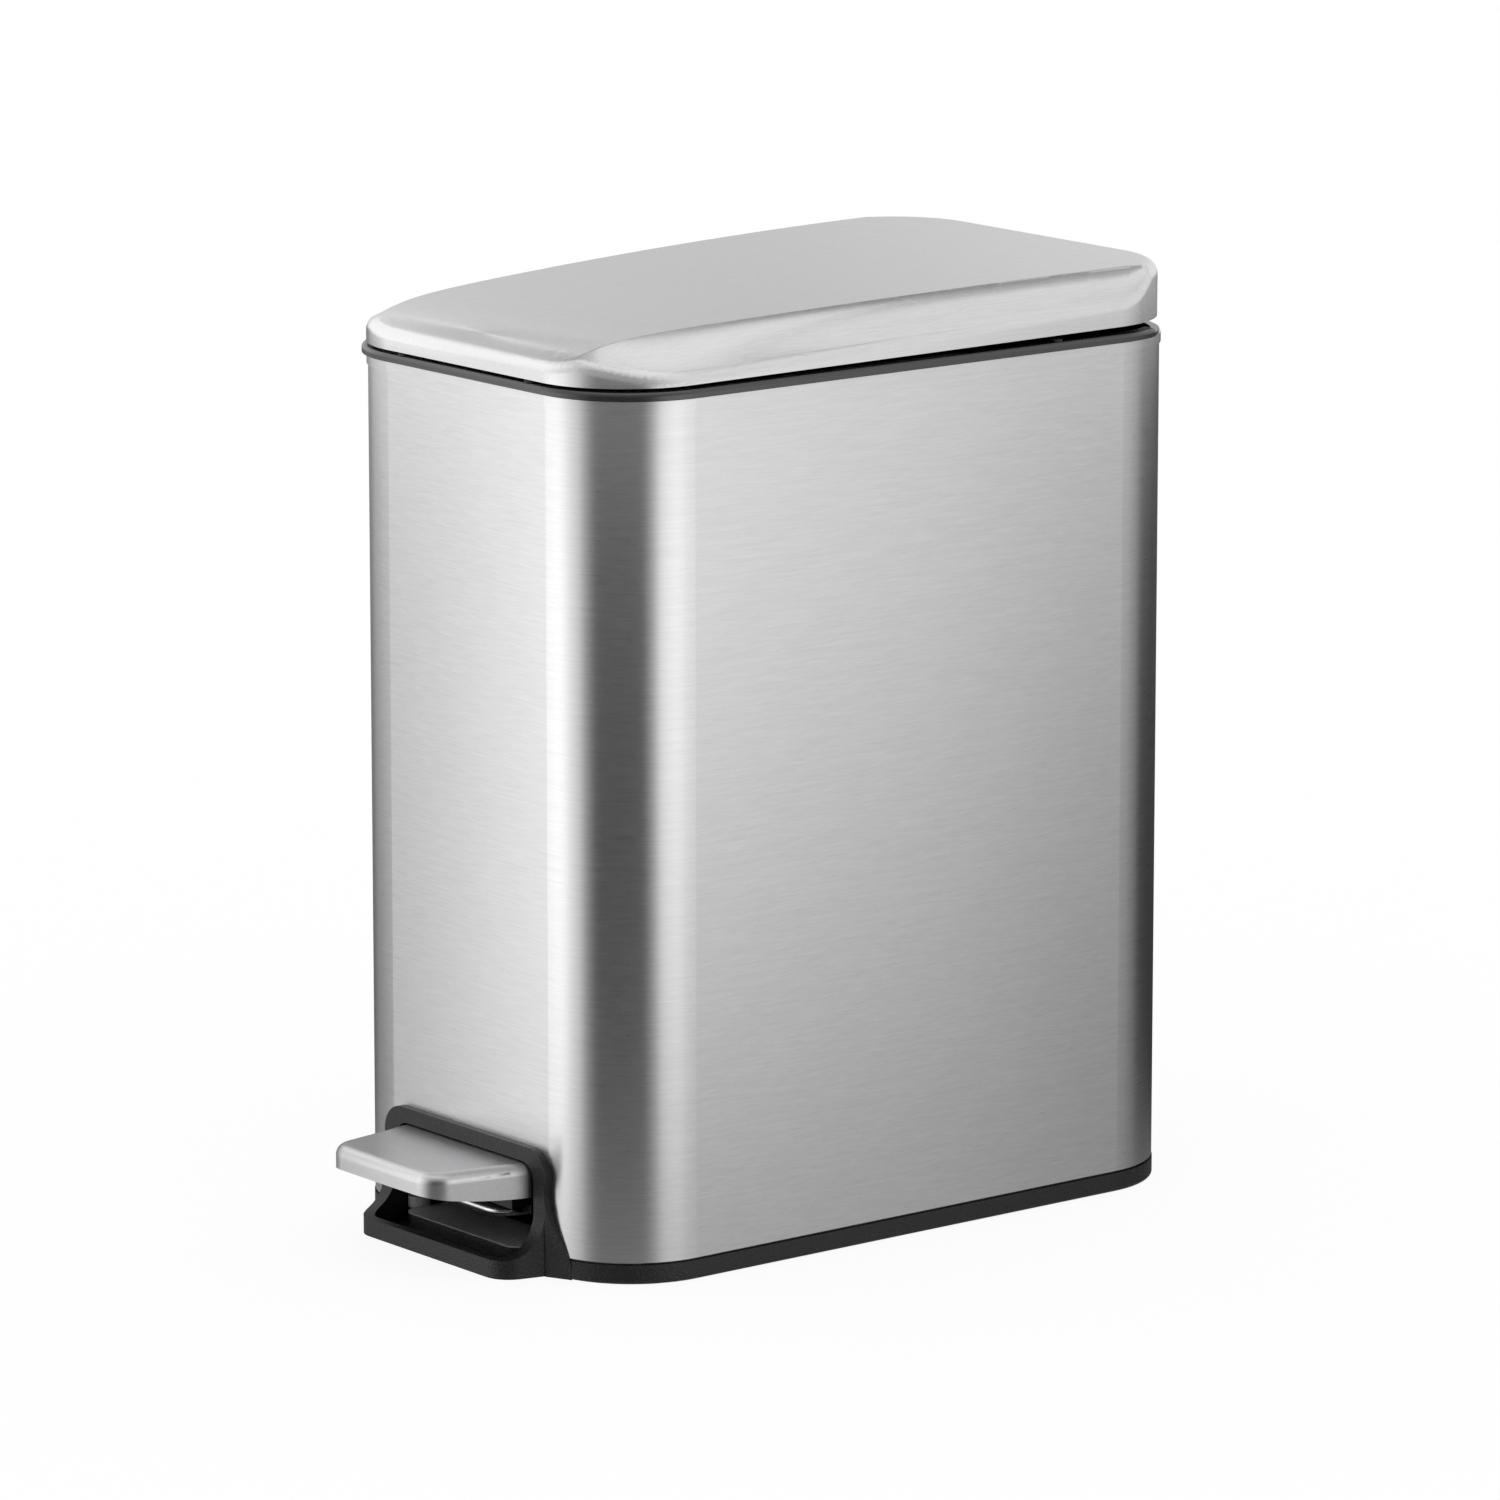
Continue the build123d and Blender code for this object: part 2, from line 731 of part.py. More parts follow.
# Push rod with a shoe on the lever's rear bar and a cap under the lid's cam.
def push_rod():
    low = foot_low + foot_height / 3
    high = rod_top - tip_height + tip_socket
    return Pos(0, rod_y, low) * Cylinder(rod_radius, high - low, align=up)


def rod_foot():
    half = foot_width / 2
    length = foot_length / 2
    foot = box(-half, half, rod_y - length, rod_y + length, foot_low - foot_cheek, foot_low + foot_height)
    inner = length - foot_cheek_wall
    foot -= box(-half, half, rod_y - inner, rod_y + inner, 0, foot_low)
    foot = fillet(foot.edges().group_by(Axis.Z)[-1], foot_cheek_wall / 2)
    socket = Cylinder(rod_radius + press_gap, foot_height, align=up)
    return foot - Pos(0, rod_y, foot_low + foot_height / 3) * socket


def rod_tip():
    low = rod_top - tip_height
    tip = Pos(0, rod_y, low) * Cylinder(tip_radius, tip_height, align=up)
    tip = fillet(tip.edges().group_by(Axis.Z)[-1], tip_radius / 2)
    return tip - Pos(0, rod_y, low) * Cylinder(rod_radius + press_gap, tip_socket, align=up)


# Lid: the steel pressing, and the moulding that lines it, closes its back and carries the
# knuckles and the cam.
def lid_block(inset, low, high):
    """The lid's plan shape, moved in by inset, between two levels."""
    sides = (body_width - 2 * (lid_side_inset + inset), body_depth - 2 * inset)
    plan = RectangleRounded(*sides, body_corner - inset)
    return Pos(0, -lid_shift, low) * extrude(plan, high - low)


def lid_section(way, inset):
    """Across the lid: level between the two creases, with a facet sloping down on each side."""
    top = lid_high - lid_fall * way ** 2 - lid_nose_fall * way ** lid_nose_power
    half = crease_half - crease_draw * way ** crease_power
    wall_top = lid_low + lid_wall - lid_wall_fall * way
    slope = (top - wall_top) / (body_width / 2 - lid_side_inset - half)
    half -= inset * tan(atan(slope) / 2)
    top -= inset
    out = body_width / 2
    out_z = top - slope * (out - half)
    corners = ((-out, 0), (out, 0), (out, out_z), (half, top), (-half, top), (-out, out_z))
    y = rear_y - (body_depth + 2 * lid_shift) * way
    plane = Plane(origin=(0, y, 0), x_dir=(1, 0, 0), z_dir=(0, -1, 0))
    return plane * make_face(Polyline(*corners, close=True))


def lid_form(inset):
    """The lid's outer form moved in by inset. Its sections lie closer towards the front, and
    its walls start below the lower edge, so that the rounding can run out there."""
    steps = 10
    ways = [step / steps * (2 - step / steps) for step in range(steps + 1)]
    form = loft([lid_section(way, inset) for way in ways])
    form &= lid_block(inset, body_top - lid_edge_round, lid_high)
    return fillet(lid_rims(form), lid_edge_round - inset)


def lid_rims(form):
    """The edges round the lid's top, without the two creases and the rear edge."""
    rims = form.edges().filter_by(Axis.Z, reverse=True)
    rims = rims.filter_by_position(Axis.Z, rim_top, far)
    rims = rims.filter_by_position(Axis.Y, -far, rear_y - 2 * lid_shift)
    return [rim for rim in rims if abs(rim.center().X) > crease_half or rim.length < body_depth / 2]


def lid_layer(low, high):
    """A slanted layer, between two heights above the lid's lower edge."""
    rear_low = lid_low + lid_gap_growth
    nose_y = front_y - 2 * lid_shift
    corners = ((nose_y, lid_low + low), (rear_y, rear_low + low),
               (rear_y, rear_low + high), (nose_y, lid_low + high))
    return side_profile(make_face(Polyline(*corners, close=True)), -body_width / 2, body_width / 2)


def lid_back(y_low):
    return box(-body_width, body_width, y_low, far, 0, far)


def cap_y():
    """Where the steel ends and the moulded back of the lid begins."""
    return rear_y - lid_shift - lid_cap_depth


def lid_shell():
    shell = (lid_form(0) - lid_form(lid_steel)) & lid_layer(0, lid_height)
    hem = lid_block(lid_steel / 2, rim_top, lid_high) - lid_block(lid_hem, rim_top, lid_high)
    shell += hem & lid_layer(0, lid_steel)
    return shell - lid_back(cap_y())


def lid_liner():
    inset = lid_steel + seat_gap
    below_top = box(-body_width, body_width, -far, far, 0, liner_top)
    below_plate = box(-body_width, body_width, -far, far, 0, liner_low)
    plate = lid_form(inset) & lid_layer(inset, lid_height) & below_top
    cap = lid_form(0) & lid_layer(0, lid_height) & lid_back(cap_y() + press_gap)
    liner = plate + cap - (lid_form(inset + liner_wall) & below_plate)
    lowest = hinge_z + knuckle_radius - hinge_side_gap
    liner -= box(-body_width, body_width, hinge_y - knuckle_radius, far, 0, lowest)
    back_y = rear_y - lid_shift
    for side in (-1, 1):
        low_x, high_x = knuckle_span(side)
        liner += cross_bar(knuckle_radius, low_x, high_x, hinge_y, hinge_z)
        liner += box(low_x, high_x, hinge_y - knuckle_radius, back_y, hinge_z, liner_top)
        liner -= ear_space(side)
    liner += lid_cam()
    liner += box(-cam_width / 2, cam_width / 2, hinge_y - knuckle_radius, back_y, hinge_z, liner_top)
    return liner - cross_bar(hinge_pin_radius + run_gap, -far, far, hinge_y, hinge_z)


def ear_space(side):
    inner = side * (ear_outer_x - ear_width - hinge_side_gap)
    outer = side * (ear_outer_x + hinge_side_gap)
    low, high = min(inner, outer), max(inner, outer)
    room = knuckle_radius + 2 * hinge_side_gap
    space = cross_bar(room, low, high, hinge_y, hinge_z)
    return space + box(low, high, hinge_y - room, far, 0, hinge_z)


def involute_point(roll):
    """A point of the cam's flank, where it meets the push rod once the lid has turned on by
    cam_angle - roll. The rod always pushes along the line that touches the base circle."""
    turn = cam_angle - roll
    across = cam_radius * (roll * sin(turn) - cos(turn))
    height = -cam_radius * (roll * cos(turn) + sin(turn))
    return across, height


def lid_cam():
    """A lug whose flank is an involute about the hinge, so that the rod's travel is its base
    radius times the lid's angle."""
    steps = 8
    last = cam_angle + cam_spare_angle
    rolls = [cam_end + (last - cam_end) * step / steps for step in range(steps + 1)]
    flank = [involute_point(roll) for roll in rolls]
    nose_y, nose_z = flank[-1]
    top = liner_top - hinge_z
    back = -hinge_pin_radius / 2
    with BuildSketch() as side:
        with BuildLine():
            curve = Spline(*flank)
            heel = Line(curve @ 1, (nose_y - cam_heel, nose_z + cam_heel))
            rise = Line(heel @ 1, (nose_y - cam_heel, top))
            over = Line(rise @ 1, (back, top))
            fall = Line(over @ 1, (back, flank[0][1]))
            Line(fall @ 1, curve @ 0)
        make_face()
    half = cam_width / 2
    lug = Pos(0, hinge_y, hinge_z) * side_profile(side.sketch, -half, half)
    return lug + cross_bar(knuckle_radius, -half, half, hinge_y, hinge_z)


def lid_bumpers():
    """Rubber studs pressed into the rim for the lid to close on."""
    return [Pos(*place) * Cylinder(bumper_radius, 2 * bumper_height) for place in bumper_places()]


def bumper_places():
    """On the bead under the lid's hem: two at the front, one on each side."""
    middle = lid_hem / 2
    side_x = body_width / 2 - lid_side_inset - middle
    front = [(side * body_corner, front_y - lid_shift + middle, rim_top) for side in (-1, 1)]
    sides = [(side * side_x, rear_y / 2, rim_top) for side in (-1, 1)]
    return front + sides


# Bucket: tapered walls, a turned-down rim on the ledge, holes and rests for the bail.
def bucket_plan(inset):
    """The bucket's plan shape, moved in by inset from the rim's outer edge."""
    side_inset = rim_inset() + inset
    y_low = front_y + side_inset
    y_high = bucket_rear_y - inset
    half = body_width / 2 - side_inset
    plan = RectangleRounded(2 * half, y_high - y_low, body_corner - side_inset)
    return Pos(0, (y_low + y_high) / 2) * plan


def rim_inset():
    return steel_wall + seat_gap + rim_wall + bucket_gap


def bucket_body(inset, low, high):
    """The tapered body moved in by inset, with its taper counted from the rim's underside."""
    full = bucket_top - bucket_floor_z
    wall_inset = ledge_width + bucket_gap + inset
    sections = []
    for z in (low, high):
        taper = bucket_taper * (bucket_top - z) / full
        sections.append(Pos(0, 0, z) * bucket_plan(wall_inset + taper))
    return loft(sections)


def inner_bucket():
    bucket = bucket_body(0, bucket_floor_z, bucket_top)
    bucket = fillet(bucket.edges().group_by(Axis.Z)[0], bucket_foot_round)
    rim = extrude(Pos(0, 0, bucket_top - bucket_rim_height) * bucket_plan(0), bucket_rim_height)
    hollow_height = bucket_rim_height - bucket_wall
    under = extrude(Pos(0, 0, bucket_top - bucket_rim_height) * bucket_plan(bucket_wall), hollow_height)
    bucket += rim - under
    bucket -= bucket_body(bucket_wall, bucket_floor_z + bucket_wall, bucket_top)
    for side in (-1, 1):
        bucket += bail_rest(side)
    return bucket - cross_bar(bail_radius + part_gap, -far, far, bail_pivot_y, bail_pivot_z)


def wall_half():
    """Half the bucket's width inside its walls, near the rim."""
    return body_width / 2 - rim_inset() - ledge_width - bucket_gap - bucket_wall


def wall_front():
    return front_y + rim_inset() + ledge_width + bucket_gap + bucket_wall


def bail_rest(side):
    x = side * bail_rest_x
    half = bail_rest_width / 2
    reach = 2 * bail_radius + bail_front_gap
    block = box(x - half, x + half, wall_front() - bucket_wall / 2, wall_front() + reach,
                bail_rest_z - bail_rest_thick, bail_rest_z)
    tips = block.edges().filter_by(Axis.Z).group_by(Axis.Y)[-1]
    return fillet(tips, bail_radius)


def bail_handle():
    """A wire bail that lies inside the rim, its ends sprung out into the walls."""
    inner = wall_half() - bail_radius - bail_front_gap
    outer = wall_half() + bucket_wall - part_gap
    bar_y = wall_front() + bail_radius + bail_front_gap
    bar_z = bail_rest_z + bail_radius + part_gap
    pivot = (bail_pivot_y, bail_pivot_z)
    bar = (bar_y, bar_z)
    route = ((-outer, *pivot), (-inner, *pivot), (-inner, *bar), (inner, *bar), (inner, *pivot), (outer, *pivot))
    path = FilletPolyline(*route, radius=[bail_hook, bail_bend, bail_bend, bail_hook])
    section = Plane(origin=route[0], z_dir=(1, 0, 0)) * Circle(bail_radius)
    return sweep(section, path=path)


# Every node, moved so that the frame's origin is on the floor in the middle of the whole
# part, from the pedal's front to the rivets' heads.
nodes = {
    "body_shell": body_shell,
    "top_ring": top_ring,
    "base_tray": base_tray,
    "pedal_housing": pedal_housing,
    "housing_screws": housing_screws,
    "rod_channel": rod_channel,
    "channel_rivets": channel_rivets,
    "pivot_pin": pivot_pin,
    "pivot_clip": pivot_clip,
    "hinge_pin": hinge_pin,
    "lid_bumpers": lid_bumpers,
    "lever_wire": lever_wire,
    "lever_rocker": lever_rocker,
    "pedal_cover": pedal_cover,
    "pedal_core": pedal_core,
    "core_screws": core_screws,
    "push_rod": push_rod,
    "rod_foot": rod_foot,
    "rod_tip": rod_tip,
    "lid_shell": lid_shell,
    "lid_liner": lid_liner,
    "inner_bucket": inner_bucket,
    "bail_handle": bail_handle,
}
frame_shift = -(pedal_front + rear_y + rivet_head) / 2

os.makedirs("parts", exist_ok=True)
for name, make in nodes.items():
    made = make()
    pieces = made if isinstance(made, list) else [made]
    moved = [Pos(0, frame_shift, 0) * piece for piece in pieces]
    export_step(moved[0] if len(moved) == 1 else Compound(children=moved), f"parts/{name}.step")
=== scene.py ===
# %% [markdown]
# # A slim pedal bin
#
# The CAD model is a fixed frame: every part of the bin is where it belongs, in metres, with the
# floor at z = 0 and the pedal towards -Y. This lesson gives it its looks. It starts with the
# frame, then a small kit for writing shaders as plain sums, then the finishes, then the two
# pieces that deserve a finer surface than the CAD gives, and last the studio.
#
# No CAD piece is moved and no CAD mesh is changed. A piece gets a better material in its own slot,
# or a finer piece stands for it.

# %% The frame
import bpy
import json
from math import atan2, copysign, cos, hypot, pi, radians, sin, tan
from mathutils import Euler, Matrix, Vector

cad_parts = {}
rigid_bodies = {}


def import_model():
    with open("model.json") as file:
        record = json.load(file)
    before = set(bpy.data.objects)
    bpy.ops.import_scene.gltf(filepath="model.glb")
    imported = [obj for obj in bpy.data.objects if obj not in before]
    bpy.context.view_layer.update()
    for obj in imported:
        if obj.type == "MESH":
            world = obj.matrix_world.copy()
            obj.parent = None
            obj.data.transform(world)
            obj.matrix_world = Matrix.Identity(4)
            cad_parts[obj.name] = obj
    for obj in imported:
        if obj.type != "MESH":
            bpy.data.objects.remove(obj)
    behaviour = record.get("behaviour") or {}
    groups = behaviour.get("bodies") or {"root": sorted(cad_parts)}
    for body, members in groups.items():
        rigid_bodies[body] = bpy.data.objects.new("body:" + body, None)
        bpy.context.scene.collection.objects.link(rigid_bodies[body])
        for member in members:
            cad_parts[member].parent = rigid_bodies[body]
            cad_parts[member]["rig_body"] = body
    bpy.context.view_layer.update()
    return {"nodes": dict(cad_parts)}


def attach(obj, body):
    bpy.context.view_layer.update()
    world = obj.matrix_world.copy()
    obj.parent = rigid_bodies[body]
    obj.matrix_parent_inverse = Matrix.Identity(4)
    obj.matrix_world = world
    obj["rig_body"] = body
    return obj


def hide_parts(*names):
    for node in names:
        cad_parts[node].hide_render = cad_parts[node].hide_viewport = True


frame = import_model()
MM = 0.001


# %% [markdown]
# ## Shaders as sums
#
# A shader is a graph of nodes, but most of it is arithmetic. Wiring each Math node by hand soon
# hides the idea. `Value` wraps one output socket, and its operators add the Math nodes, so
# `1 - mask * 0.4` can be written as it stands.

# %% A socket that does sums
class Value:
    """One output socket of a shader, used like a number."""

    def __init__(self, shader, socket):
        self.shader = shader
        self.socket = socket

    def math(self, operation, first, second):
        return self.shader.node("ShaderNodeMath", {"operation": operation}, {0: first, 1: second})

    def __add__(self, other):
        return self.math("ADD", self, other)

    def __sub__(self, other):
        return self.math("SUBTRACT", self, other)

    def __rsub__(self, other):
        return self.math("SUBTRACT", other, self)

    def __mul__(self, other):
        return self.math("MULTIPLY", self, other)

    def __truediv__(self, other):
        return self.math("DIVIDE", self, other)

    __radd__ = __add__
    __rmul__ = __mul__

    def is_below(self, limit):
        return self.math("LESS_THAN", self, limit)

    def is_above(self, limit):
        return self.math("GREATER_THAN", self, limit)


# %% [markdown]
# ### Every other node
#
# `Shader.node` adds any other node. Its settings come first, because a setting can change which
# sockets a node has, and then what goes into its sockets: a plain value or a link. The methods
# below it are the few nodes that nearly every finish of the bin needs. They all start from the
# Object coordinates, which are metres on this bin, so a pattern keeps its size and stays with its
# piece when that piece moves.

# %% A shader's node tree
class Shader:
    """A node tree that starts empty."""

    def __init__(self, owner):
        owner.use_nodes = True
        self.tree = owner.node_tree
        self.tree.nodes.clear()

    def node(self, kind, settings=None, inputs=None, output=0):
        """A node with its settings and inputs; gives one of its outputs."""
        node = self.tree.nodes.new(kind)
        for name, setting in (settings or {}).items():
            if name == "stops":
                ramp = node.color_ramp
                while len(ramp.elements) < len(setting):
                    ramp.elements.new(1.0)
                for element, (place, level) in zip(ramp.elements, setting):
                    element.position = place
                    element.color = (level, level, level, 1.0)
            elif name == "interpolation":
                node.color_ramp.interpolation = setting
            else:
                setattr(node, name, setting)
        for name, value in (inputs or {}).items():
            if isinstance(value, Value):
                self.tree.links.new(value.socket, node.inputs[name])
            else:
                node.inputs[name].default_value = value
        return Value(self, node.outputs[output]) if node.outputs else None

    def place(self, stretch=(1.0, 1.0, 1.0)):
        """The point on the piece, in metres, with each axis stretched."""
        spot = self.node("ShaderNodeTexCoord", output="Object")
        return self.node("ShaderNodeVectorMath", {"operation": "MULTIPLY"}, {0: spot, 1: stretch})

    def axes(self, vector):
        """The X, Y and Z of a vector."""
        node = self.node("ShaderNodeSeparateXYZ", {}, {0: vector}).socket.node
        return [Value(self, socket) for socket in node.outputs]

    def noise(self, stretch, detail=2.0, roughness=0.5):
        """Noise from 0 to 1 whose cells are 1 / stretch metres long along each axis."""
        inputs = {"Vector": self.place(stretch), "Scale": 1.0,
                  "Detail": detail, "Roughness": roughness}
        return self.node("ShaderNodeTexNoise", {}, inputs)

    def mix(self, factor, first, second):
        """A colour between two, by a factor. A Math node would turn the colour grey."""
        inputs = {0: factor, 6: first, 7: second}
        return self.node("ShaderNodeMix", {"data_type": "RGBA"}, inputs, output=2)

    def bump(self, height, distance, strength=1.0):
        """A Normal that lets a flat surface shade as if it had this height."""
        inputs = {"Height": height, "Distance": distance, "Strength": strength}
        return self.node("ShaderNodeBump", {}, inputs)

    def end(self, surface, kind="ShaderNodeOutputMaterial"):
        self.node(kind, {}, {"Surface": surface})


# %% [markdown]
# ### A finish and what wears it
#
# A finish is a function that says what goes into the Principled shader, and `finish` makes a
# material of it. `dress` then puts the material on CAD pieces. It fills the slots that a piece
# already has and adds none, so each piece keeps its place in the frame's records.

# %% Making and wearing a finish
def shade(colour, level):
    """A colour made darker or paler, with its alpha."""
    return tuple(channel * level for channel in colour) + (1.0,)


def finish(name, paint):
    """A new material, painted by a function that returns the Principled shader's inputs."""
    material = bpy.data.materials.new(name)
    shader = Shader(material)
    shader.end(shader.node("ShaderNodeBsdfPrincipled", {}, paint(shader)))
    return material


def dress(material, *nodes):
    """Gives CAD nodes a better material in every slot."""
    for name in nodes:
        for slot in frame["nodes"][name].material_slots:
            slot.material = material
    print(material.name, "on", ", ".join(nodes))


# %% [markdown]
# ## Brushed steel
#
# Sheet steel is brushed by a belt that runs one way and leaves fine parallel lines. A reflection
# stays sharp along the lines and smears out across them, which is what the Anisotropic input does.
# The lines could be a picture, but noise stretched far along them never repeats: a broad one
# for the streaks and a hair-fine one that also tips the surface a little. Both run between a dark
# and a pale steel, and the roughness follows the hairs.

# %% Brushed steel
STEEL_DARK = (0.33, 0.33, 0.335)
STEEL_PALE = (0.99, 0.99, 1.0)
HAIR_DEPTH = 0.02 * MM
HAIR_BUMP = 0.4
ROUGHNESS_SWING = 0.12


def brushed(streaks, hairs, contrast=0.1, rough=0.3, pull=0.75, turn=0.25, axis=None, level=1.0):
    """Steel with streaks and hairs, each a stretch that is small along the lines.

    Pull is how far highlights are drawn out, and turn the part of a full turn between their
    direction and the rings round Z, or round another axis.
    """
    def paint(shader):
        broad = shader.noise(streaks, detail=3.0, roughness=0.6)
        hair = shader.noise(hairs, roughness=0.7)
        tone = 0.5 + (broad - 0.5) * contrast + (hair - 0.5) * contrast
        inputs = {
            "Base Color": shader.mix(tone, shade(STEEL_DARK, level), shade(STEEL_PALE, level)),
            "Metallic": 1.0,
            "Roughness": rough + (hair - 0.5) * ROUGHNESS_SWING,
            "Anisotropic": pull,
            "Anisotropic Rotation": turn,
            "Normal": shader.bump(hair, HAIR_DEPTH, HAIR_BUMP),
        }
        if axis:
            rings = {"direction_type": "RADIAL", "axis": axis}
            inputs["Tangent"] = shader.node("ShaderNodeTangent", rings)
        return inputs
    return paint


# %% [markdown]
# ### The sleeve
#
# The sheet is brushed before it is rolled into the sleeve, so its lines run level round the bin.
# The streaks are some 17 mm long along X and Y, and under a millimetre high. By itself, Blender
# lays the directions of a surface in rings round Z, which follow the corners here. A quarter turn
# from them draws the highlights upright, square to the lines.

# %% Sleeve
sleeve_steel = finish("sleeve_steel", brushed(
    streaks=(60.0, 60.0, 1300.0), hairs=(160.0, 160.0, 2600.0), contrast=0.2))
dress(sleeve_steel, "body_shell")


# %% [markdown]
# ### The lid
#
# The lid's blank is brushed along its length, so its streaks are long along Y. Rings round Z would
# give a round sheen in the middle of the lid, like a turned disc. A Tangent node lays them round Y
# instead. They cross the lid everywhere, square to the lines, and the highlights follow them.

# %% Lid's steel
lid_steel = finish("lid_steel", brushed(
    streaks=(1300.0, 60.0, 1300.0), hairs=(2600.0, 160.0, 2600.0), contrast=0.15, rough=0.25,
    turn=0.0, axis="Y"))
dress(lid_steel, "lid_shell")


# %% [markdown]
# ### The pedal's cap
#
# The cap is a small pressing, brushed across, and shoes dull it. It has the same lines, but a
# rougher, slightly darker steel without any draw in its highlights.

# %% Pedal's steel
pedal_steel = finish("pedal_steel", brushed(
    streaks=(60.0, 900.0, 900.0), hairs=(900.0, 1800.0, 1800.0), contrast=0.2, rough=0.38,
    pull=0.0, level=0.9))
dress(pedal_steel, "pedal_cover")


# %% [markdown]
# ### The folded cover of the rod
#
# Inside the bin a folded strip guides the rod, held by rivets. It is plain sheet whose rolling
# lines run upright, so its streaks are long along Z.

# %% Inner sheet
inner_sheet = finish("inner_sheet", brushed(
    streaks=(900.0, 900.0, 6.0), hairs=(3000.0, 3000.0, 20.0), rough=0.4))
dress(inner_sheet, "rod_channel", "channel_rivets")


# %% [markdown]
# ## Plated wire, pins and screws
#
# The pedal's wire, the bucket's bail, the pins and the screws are plated. Plating is smooth and
# bright, with a haze where it has been handled: noise of a few millimetres in the roughness.

# %% Plated parts
PLATING = (0.72, 0.72, 0.73, 1.0)


def plated(shader):
    haze = shader.noise((400.0, 400.0, 400.0))
    return {"Base Color": PLATING, "Metallic": 1.0, "Roughness": 0.16 + haze * 0.12}


plated_wire = finish("plated_wire", plated)
dress(plated_wire, "lever_wire", "pivot_pin", "pivot_clip", "hinge_pin", "push_rod", "bail_handle",
      "housing_screws", "core_screws")


# %% [markdown]
# ## Moulded plastic
#
# A moulding copies the even grain of its spark-eroded mould. Real dents would take millions of
# faces, so the grain is a bump on noise of some 0.6 mm, whose distance says how deep it looks. The
# same noise speckles the colour with an uneven tone, with painted shade in the pits and painted
# light on the tops, and a slow cloud makes the sheen uneven. The top of the base's tongue, under
# the pedal, is painted a paler grey as painted light, for the light that falls in there.

# %% Moulded plastic
# Painted shade in the grain's pits and painted light on its tops, as shares of the colour.
PIT_SHADE_LEVEL, TOP_LIGHT_LEVEL = 0.4, 1.9
# Painted light: a paler grey for the top of the base's tongue, where light falls in under the
# pedal.
TONGUE_LIGHT_GREY = (0.35, 0.35, 0.35, 1.0)
TONGUE_REAR = -86.0 * MM
TONGUE_TOP = 6.6 * MM


def moulded(colour, grain, rough, sheen=0.5, tongue_light=0.0):
    """Grained plastic; tongue_light: how much painted light, a paler grey, tops the base's tongue.
    """
    def paint(shader):
        speckle = shader.noise((1600.0, 1600.0, 1600.0))
        cloud = shader.noise((40.0, 40.0, 40.0))
        # The speckle gives the grain an uneven tone, with painted shade in the pits and painted
        # light on the tops.
        tone = shader.mix(speckle, shade(colour, PIT_SHADE_LEVEL), shade(colour, TOP_LIGHT_LEVEL))
        if tongue_light:
            # Painted light: the tongue's top, in front of TONGUE_REAR and above TONGUE_TOP, turns
            # a paler grey.
            across, along, height = shader.axes(shader.place())
            lit_top = along.is_below(TONGUE_REAR) * height.is_above(TONGUE_TOP)
            tone = shader.mix(lit_top * tongue_light, tone, TONGUE_LIGHT_GREY)
        return {
            "Base Color": tone,
            "Roughness": rough + (cloud - 0.5) * ROUGHNESS_SWING,
            "Specular IOR Level": sheen,
            "Normal": shader.bump(speckle, grain),
        }
    return paint


# %% [markdown]
# ### Black mouldings
#
# The pedal's housing, the lid's liner, the pedal's core and the rocker come from one deeply
# grained black plastic. The base is the same, with painted light on the top of its tongue under
# the pedal, a paler grey. The rim under the lid is a smoother, glossier black, and shows as a thin
# bright line.

# %% Black mouldings
BLACK = (0.006, 0.0062, 0.0068)
RIM_BLACK = (0.008, 0.008, 0.009)
DEEP_GRAIN = 0.3 * MM
FINE_GRAIN = 0.04 * MM

black_moulding = finish("black_moulding", moulded(BLACK, DEEP_GRAIN, 0.36))
# The base's tongue gets painted light, a paler grey on its top.
tray_moulding = finish("tray_moulding", moulded(BLACK, DEEP_GRAIN, 0.36, tongue_light=0.6))
rim_moulding = finish("rim_moulding", moulded(RIM_BLACK, FINE_GRAIN, 0.25, sheen=0.9))
dress(black_moulding, "pedal_housing", "lid_liner", "pedal_core", "lever_rocker")
dress(tray_moulding, "base_tray")
dress(rim_moulding, "top_ring")


# %% [markdown]
# ### The bucket, the rod's ends and the bumpers
#
# The bucket is a plain dark grey with a light grain. The shoe and the cap of the rod slide on
# other parts, so they are pale nylon. The lid lands on four soft rubber studs, which are the
# dullest parts of the bin.

# %% Other mouldings
bucket_moulding = finish("bucket_moulding", moulded((0.025, 0.025, 0.027), FINE_GRAIN, 0.38))
nylon = finish("nylon", moulded((0.62, 0.62, 0.58), 0.03 * MM, 0.45))
rubber = finish("rubber", moulded((0.02, 0.02, 0.02), 0.05 * MM, 0.7))
dress(bucket_moulding, "inner_bucket")
dress(nylon, "rod_foot", "rod_tip")
dress(rubber, "lid_bumpers")


# %% [markdown]
# ## Pieces with a finer surface
#
# Two CAD meshes are right in size but too plain close up. Each could be modelled anew, but a copy
# keeps the CAD's exact size. A CAD mesh is loose triangles, so the copy's doubles are merged
# first. It is then worked over in edit mode, where the operators act on what is selected, so
# faces and edges are selected in code, by their place or normal.

# %% Copies and selections
def select_only(piece):
    bpy.ops.object.select_all(action="DESELECT")
    piece.select_set(True)
    bpy.context.view_layer.objects.active = piece


def copy_of(node):
    """A merged copy of a CAD node's mesh, its place in the mesh."""
    source = frame["nodes"][node]
    piece = bpy.data.objects.new("fine_" + node, source.data.copy())
    bpy.context.scene.collection.objects.link(piece)
    piece.matrix_world = source.matrix_world.copy()
    select_only(piece)
    bpy.ops.object.transform_apply()
    bpy.ops.mesh.customdata_custom_splitnormals_clear()
    bpy.ops.object.mode_set(mode="EDIT")
    bpy.ops.mesh.select_all(action="SELECT")
    bpy.ops.mesh.remove_doubles(threshold=0.001 * MM)
    bpy.ops.object.mode_set(mode="OBJECT")
    return piece


